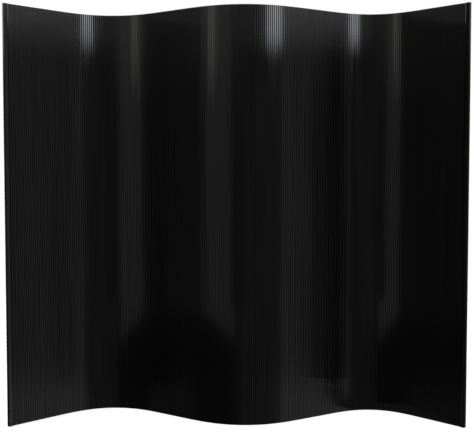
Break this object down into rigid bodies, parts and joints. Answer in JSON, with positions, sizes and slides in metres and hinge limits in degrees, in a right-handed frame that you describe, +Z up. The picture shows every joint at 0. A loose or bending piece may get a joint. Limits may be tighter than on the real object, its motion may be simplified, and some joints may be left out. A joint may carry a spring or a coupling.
{
  "type": "partition screen",
  "caption": "Free-standing roll-up room screen of narrow upright lacquered slats on a flexible backing, with a post at each end, standing in a wave.",
  "frame": {"origin": "on the floor, under the middle of the screen's box in its wavy rest shape", "axes": "+Z up, +X along the screen from the left post to the right post, and the slatted front faces -Y"},
  "size_m": [2.1308, 0.3498, 1.95],
  "materials": {
    "slat_lacquer": "glossy black lacquer over bamboo",
    "post_lacquer": "glossy black lacquer over wood",
    "backing_felt": "black non-woven felt, matt",
    "screw_steel": "blackened steel"
  },
  "bodies": {
    "left_post": {"left_front_batten": "post_lacquer", "left_rear_batten": "post_lacquer", "left_batten_screws": "screw_steel"},
    "strip_01": {"slats_01": "slat_lacquer"},
    "strip_02": {"slats_02": "slat_lacquer"},
    "strip_03": {"slats_03": "slat_lacquer"},
    "strip_04": {"slats_04": "slat_lacquer"},
    "strip_05": {"slats_05": "slat_lacquer"},
    "strip_06": {"slats_06": "slat_lacquer"},
    "strip_07": {"slats_07": "slat_lacquer"},
    "strip_08": {"slats_08": "slat_lacquer"},
    "strip_09": {"slats_09": "slat_lacquer"},
    "strip_10": {"slats_10": "slat_lacquer"},
    "strip_11": {"slats_11": "slat_lacquer"},
    "strip_12": {"slats_12": "slat_lacquer"},
    "strip_13": {"slats_13": "slat_lacquer"},
    "strip_14": {"slats_14": "slat_lacquer"},
    "strip_15": {"slats_15": "slat_lacquer"},
    "strip_16": {"slats_16": "slat_lacquer"},
    "strip_17": {"slats_17": "slat_lacquer"},
    "strip_18": {"slats_18": "slat_lacquer"},
    "strip_19": {"slats_19": "slat_lacquer"},
    "strip_20": {"slats_20": "slat_lacquer"},
    "strip_21": {"slats_21": "slat_lacquer"},
    "strip_22": {"slats_22": "slat_lacquer"},
    "strip_23": {"slats_23": "slat_lacquer"},
    "strip_24": {"slats_24": "slat_lacquer"},
    "strip_25": {"slats_25": "slat_lacquer", "backing": "backing_felt"},
    "strip_26": {"slats_26": "slat_lacquer"},
    "strip_27": {"slats_27": "slat_lacquer"},
    "strip_28": {"slats_28": "slat_lacquer"},
    "strip_29": {"slats_29": "slat_lacquer"},
    "strip_30": {"slats_30": "slat_lacquer"},
    "strip_31": {"slats_31": "slat_lacquer"},
    "strip_32": {"slats_32": "slat_lacquer"},
    "strip_33": {"slats_33": "slat_lacquer"},
    "strip_34": {"slats_34": "slat_lacquer"},
    "strip_35": {"slats_35": "slat_lacquer"},
    "strip_36": {"slats_36": "slat_lacquer"},
    "strip_37": {"slats_37": "slat_lacquer"},
    "strip_38": {"slats_38": "slat_lacquer"},
    "strip_39": {"slats_39": "slat_lacquer"},
    "strip_40": {"slats_40": "slat_lacquer"},
    "strip_41": {"slats_41": "slat_lacquer"},
    "strip_42": {"slats_42": "slat_lacquer"},
    "strip_43": {"slats_43": "slat_lacquer"},
    "strip_44": {"slats_44": "slat_lacquer"},
    "strip_45": {"slats_45": "slat_lacquer"},
    "strip_46": {"slats_46": "slat_lacquer"},
    "strip_47": {"slats_47": "slat_lacquer"},
    "strip_48": {"slats_48": "slat_lacquer"},
    "strip_49": {"slats_49": "slat_lacquer"},
    "strip_50": {"slats_50": "slat_lacquer"},
    "right_post": {"right_front_batten": "post_lacquer", "right_rear_batten": "post_lacquer", "right_batten_screws": "screw_steel"}
  },
  "joints": [
    {"name": "hinge_01", "type": "hinge", "parent": "strip_01", "child": "left_post", "pos_m": [-1.04311, -0.13486, 0], "axis": [0, 0, -1], "range_deg": [-5, 34.87]},
    {"name": "hinge_02", "type": "hinge", "parent": "strip_02", "child": "strip_01", "pos_m": [-1.00789, -0.10073, 0], "axis": [0, 0, -1], "range_deg": [-5, 45.87]},
    {"name": "hinge_03", "type": "hinge", "parent": "strip_03", "child": "strip_02", "pos_m": [-0.97268, -0.06661, 0], "axis": [0, 0, -1], "range_deg": [-5, 44.42]},
    {"name": "hinge_04", "type": "hinge", "parent": "strip_04", "child": "strip_03", "pos_m": [-0.93746, -0.03248, 0], "axis": [0, 0, -1], "range_deg": [-5, 43.1]},
    {"name": "hinge_05", "type": "hinge", "parent": "strip_05", "child": "strip_04", "pos_m": [-0.90224, 0.00165, 0], "axis": [0, 0, -1], "range_deg": [-5, 41.9]},
    {"name": "hinge_06", "type": "hinge", "parent": "strip_06", "child": "strip_05", "pos_m": [-0.86703, 0.03578, 0], "axis": [0, 0, -1], "range_deg": [-4.95, 41.38]},
    {"name": "hinge_07", "type": "hinge", "parent": "strip_07", "child": "strip_06", "pos_m": [-0.83146, 0.06954, 0], "axis": [0, 0, -1], "range_deg": [-4.4, 42.73]},
    {"name": "hinge_08", "type": "hinge", "parent": "strip_08", "child": "strip_07", "pos_m": [-0.7942, 0.10141, 0], "axis": [0, 0, -1], "range_deg": [-3.89, 44.3]},
    {"name": "hinge_09", "type": "hinge", "parent": "strip_09", "child": "strip_08", "pos_m": [-0.75408, 0.12956, 0], "axis": [0, 0, -1], "range_deg": [-3.46, 45.55]},
    {"name": "hinge_10", "type": "hinge", "parent": "strip_10", "child": "strip_09", "pos_m": [-0.71058, 0.15212, 0], "axis": [0, 0, -1], "range_deg": [-3.14, 46.32]},
    {"name": "hinge_11", "type": "hinge", "parent": "strip_11", "child": "strip_10", "pos_m": [-0.66404, 0.16739, 0], "axis": [0, 0, -1], "range_deg": [-2.95, 46.51]},
    {"name": "hinge_12", "type": "hinge", "parent": "strip_12", "child": "strip_11", "pos_m": [-0.61554, 0.17416, 0], "axis": [0, 0, -1], "range_deg": [-2.89, 46.04]},
    {"name": "hinge_13", "type": "hinge", "parent": "strip_13", "child": "strip_12", "pos_m": [-0.56661, 0.17202, 0], "axis": [0, 0, -1], "range_deg": [-2.99, 44.88]},
    {"name": "hinge_14", "type": "hinge", "parent": "strip_14", "child": "strip_13", "pos_m": [-0.51879, 0.16141, 0], "axis": [0, 0, -1], "range_deg": [-3.23, 43.08]},
    {"name": "hinge_15", "type": "hinge", "parent": "strip_15", "child": "strip_14", "pos_m": [-0.47314, 0.14359, 0], "axis": [0, 0, -1], "range_deg": [-3.58, 40.7]},
    {"name": "hinge_16", "type": "hinge", "parent": "strip_16", "child": "strip_15", "pos_m": [-0.43001, 0.1203, 0], "axis": [0, 0, -1], "range_deg": [-4.04, 37.85]},
    {"name": "hinge_17", "type": "hinge", "parent": "strip_17", "child": "strip_16", "pos_m": [-0.38894, 0.09351, 0], "axis": [0, 0, -1], "range_deg": [-4.57, 34.71]},
    {"name": "hinge_18", "type": "hinge", "parent": "strip_18", "child": "strip_17", "pos_m": [-0.34891, 0.06518, 0], "axis": [0, 0, -1], "range_deg": [-5, 32.25]},
    {"name": "hinge_19", "type": "hinge", "parent": "strip_19", "child": "strip_18", "pos_m": [-0.30899, 0.03671, 0], "axis": [0, 0, -1], "range_deg": [-5, 31.53]},
    {"name": "hinge_20", "type": "hinge", "parent": "strip_20", "child": "strip_19", "pos_m": [-0.26906, 0.00823, 0], "axis": [0, 0, -1], "range_deg": [-5, 31]},
    {"name": "hinge_21", "type": "hinge", "parent": "strip_21", "child": "strip_20", "pos_m": [-0.22911, -0.02021, 0], "axis": [0, 0, -1], "range_deg": [-5.23, 29.43]},
    {"name": "hinge_22", "type": "hinge", "parent": "strip_22", "child": "strip_21", "pos_m": [-0.18858, -0.04782, 0], "axis": [0, 0, -1], "range_deg": [-5.62, 27.06]},
    {"name": "hinge_23", "type": "hinge", "parent": "strip_23", "child": "strip_22", "pos_m": [-0.14663, -0.0732, 0], "axis": [0, 0, -1], "range_deg": [-5.98, 24.87]},
    {"name": "hinge_24", "type": "hinge", "parent": "strip_24", "child": "strip_23", "pos_m": [-0.10269, -0.09492, 0], "axis": [0, 0, -1], "range_deg": [-6.27, 22.99]},
    {"name": "hinge_25", "type": "hinge", "parent": "strip_25", "child": "strip_24", "pos_m": [-0.05662, -0.11165, 0], "axis": [0, 0, -1], "range_deg": [-6.5, 21.51], "deforming": ["backing"]},
    {"name": "hinge_26", "type": "hinge", "parent": "strip_25", "child": "strip_26", "pos_m": [-0.00878, -0.12227, 0], "axis": [0, 0, 1], "range_deg": [-6.63, 20.48]},
    {"name": "hinge_27", "type": "hinge", "parent": "strip_26", "child": "strip_27", "pos_m": [0.04007, -0.12606, 0], "axis": [0, 0, 1], "range_deg": [-6.66, 19.96]},
    {"name": "hinge_28", "type": "hinge", "parent": "strip_27", "child": "strip_28", "pos_m": [0.08896, -0.12279, 0], "axis": [0, 0, 1], "range_deg": [-6.59, 19.95]},
    {"name": "hinge_29", "type": "hinge", "parent": "strip_28", "child": "strip_29", "pos_m": [0.13694, -0.11281, 0], "axis": [0, 0, 1], "range_deg": [-6.43, 20.43]},
    {"name": "hinge_30", "type": "hinge", "parent": "strip_29", "child": "strip_30", "pos_m": [0.18331, -0.09694, 0], "axis": [0, 0, 1], "range_deg": [-6.19, 21.34]},
    {"name": "hinge_31", "type": "hinge", "parent": "strip_30", "child": "strip_31", "pos_m": [0.22783, -0.0764, 0], "axis": [0, 0, 1], "range_deg": [-5.87, 22.62]},
    {"name": "hinge_32", "type": "hinge", "parent": "strip_31", "child": "strip_32", "pos_m": [0.27067, -0.05256, 0], "axis": [0, 0, 1], "range_deg": [-5.5, 24.17]},
    {"name": "hinge_33", "type": "hinge", "parent": "strip_32", "child": "strip_33", "pos_m": [0.31246, -0.02689, 0], "axis": [0, 0, 1], "range_deg": [-5.1, 25.73]},
    {"name": "hinge_34", "type": "hinge", "parent": "strip_33", "child": "strip_34", "pos_m": [0.35396, -0.00076, 0], "axis": [0, 0, 1], "range_deg": [-5, 26.08]},
    {"name": "hinge_35", "type": "hinge", "parent": "strip_34", "child": "strip_35", "pos_m": [0.39545, 0.02537, 0], "axis": [0, 0, 1], "range_deg": [-5, 25.81]},
    {"name": "hinge_36", "type": "hinge", "parent": "strip_35", "child": "strip_36", "pos_m": [0.43695, 0.05151, 0], "axis": [0, 0, 1], "range_deg": [-5, 25.69]},
    {"name": "hinge_37", "type": "hinge", "parent": "strip_36", "child": "strip_37", "pos_m": [0.47851, 0.07754, 0], "axis": [0, 0, 1], "range_deg": [-4.53, 27.65]},
    {"name": "hinge_38", "type": "hinge", "parent": "strip_37", "child": "strip_38", "pos_m": [0.5211, 0.10183, 0], "axis": [0, 0, 1], "range_deg": [-3.8, 30.99]},
    {"name": "hinge_39", "type": "hinge", "parent": "strip_38", "child": "strip_39", "pos_m": [0.56595, 0.12157, 0], "axis": [0, 0, 1], "range_deg": [-3.19, 33.78]},
    {"name": "hinge_40", "type": "hinge", "parent": "strip_39", "child": "strip_40", "pos_m": [0.61332, 0.13403, 0], "axis": [0, 0, 1], "range_deg": [-2.75, 35.68]},
    {"name": "hinge_41", "type": "hinge", "parent": "strip_40", "child": "strip_41", "pos_m": [0.66217, 0.13711, 0], "axis": [0, 0, 1], "range_deg": [-2.55, 36.47]},
    {"name": "hinge_42", "type": "hinge", "parent": "strip_41", "child": "strip_42", "pos_m": [0.71058, 0.12983, 0], "axis": [0, 0, 1], "range_deg": [-2.59, 36.07]},
    {"name": "hinge_43", "type": "hinge", "parent": "strip_42", "child": "strip_43", "pos_m": [0.75643, 0.11266, 0], "axis": [0, 0, 1], "range_deg": [-2.87, 34.47]},
    {"name": "hinge_44", "type": "hinge", "parent": "strip_43", "child": "strip_44", "pos_m": [0.79837, 0.08734, 0], "axis": [0, 0, 1], "range_deg": [-3.36, 31.83]},
    {"name": "hinge_45", "type": "hinge", "parent": "strip_44", "child": "strip_45", "pos_m": [0.83632, 0.05632, 0], "axis": [0, 0, 1], "range_deg": [-4.02, 28.37]},
    {"name": "hinge_46", "type": "hinge", "parent": "strip_45", "child": "strip_46", "pos_m": [0.87151, 0.02218, 0], "axis": [0, 0, 1], "range_deg": [-4.77, 24.66]},
    {"name": "hinge_47", "type": "hinge", "parent": "strip_46", "child": "strip_47", "pos_m": [0.90589, -0.01279, 0], "axis": [0, 0, 1], "range_deg": [-5, 23.13]},
    {"name": "hinge_48", "type": "hinge", "parent": "strip_47", "child": "strip_48", "pos_m": [0.94026, -0.04777, 0], "axis": [0, 0, 1], "range_deg": [-5, 22.93]},
    {"name": "hinge_49", "type": "hinge", "parent": "strip_48", "child": "strip_49", "pos_m": [0.97464, -0.08275, 0], "axis": [0, 0, 1], "range_deg": [-5, 22.74]},
    {"name": "hinge_50", "type": "hinge", "parent": "strip_49", "child": "strip_50", "pos_m": [1.00901, -0.11773, 0], "axis": [0, 0, 1], "range_deg": [-5, 22.57]},
    {"name": "hinge_51", "type": "hinge", "parent": "strip_50", "child": "right_post", "pos_m": [1.04338, -0.1527, 0], "axis": [0, 0, 1], "range_deg": [-5, 16.67]}
  ]
}
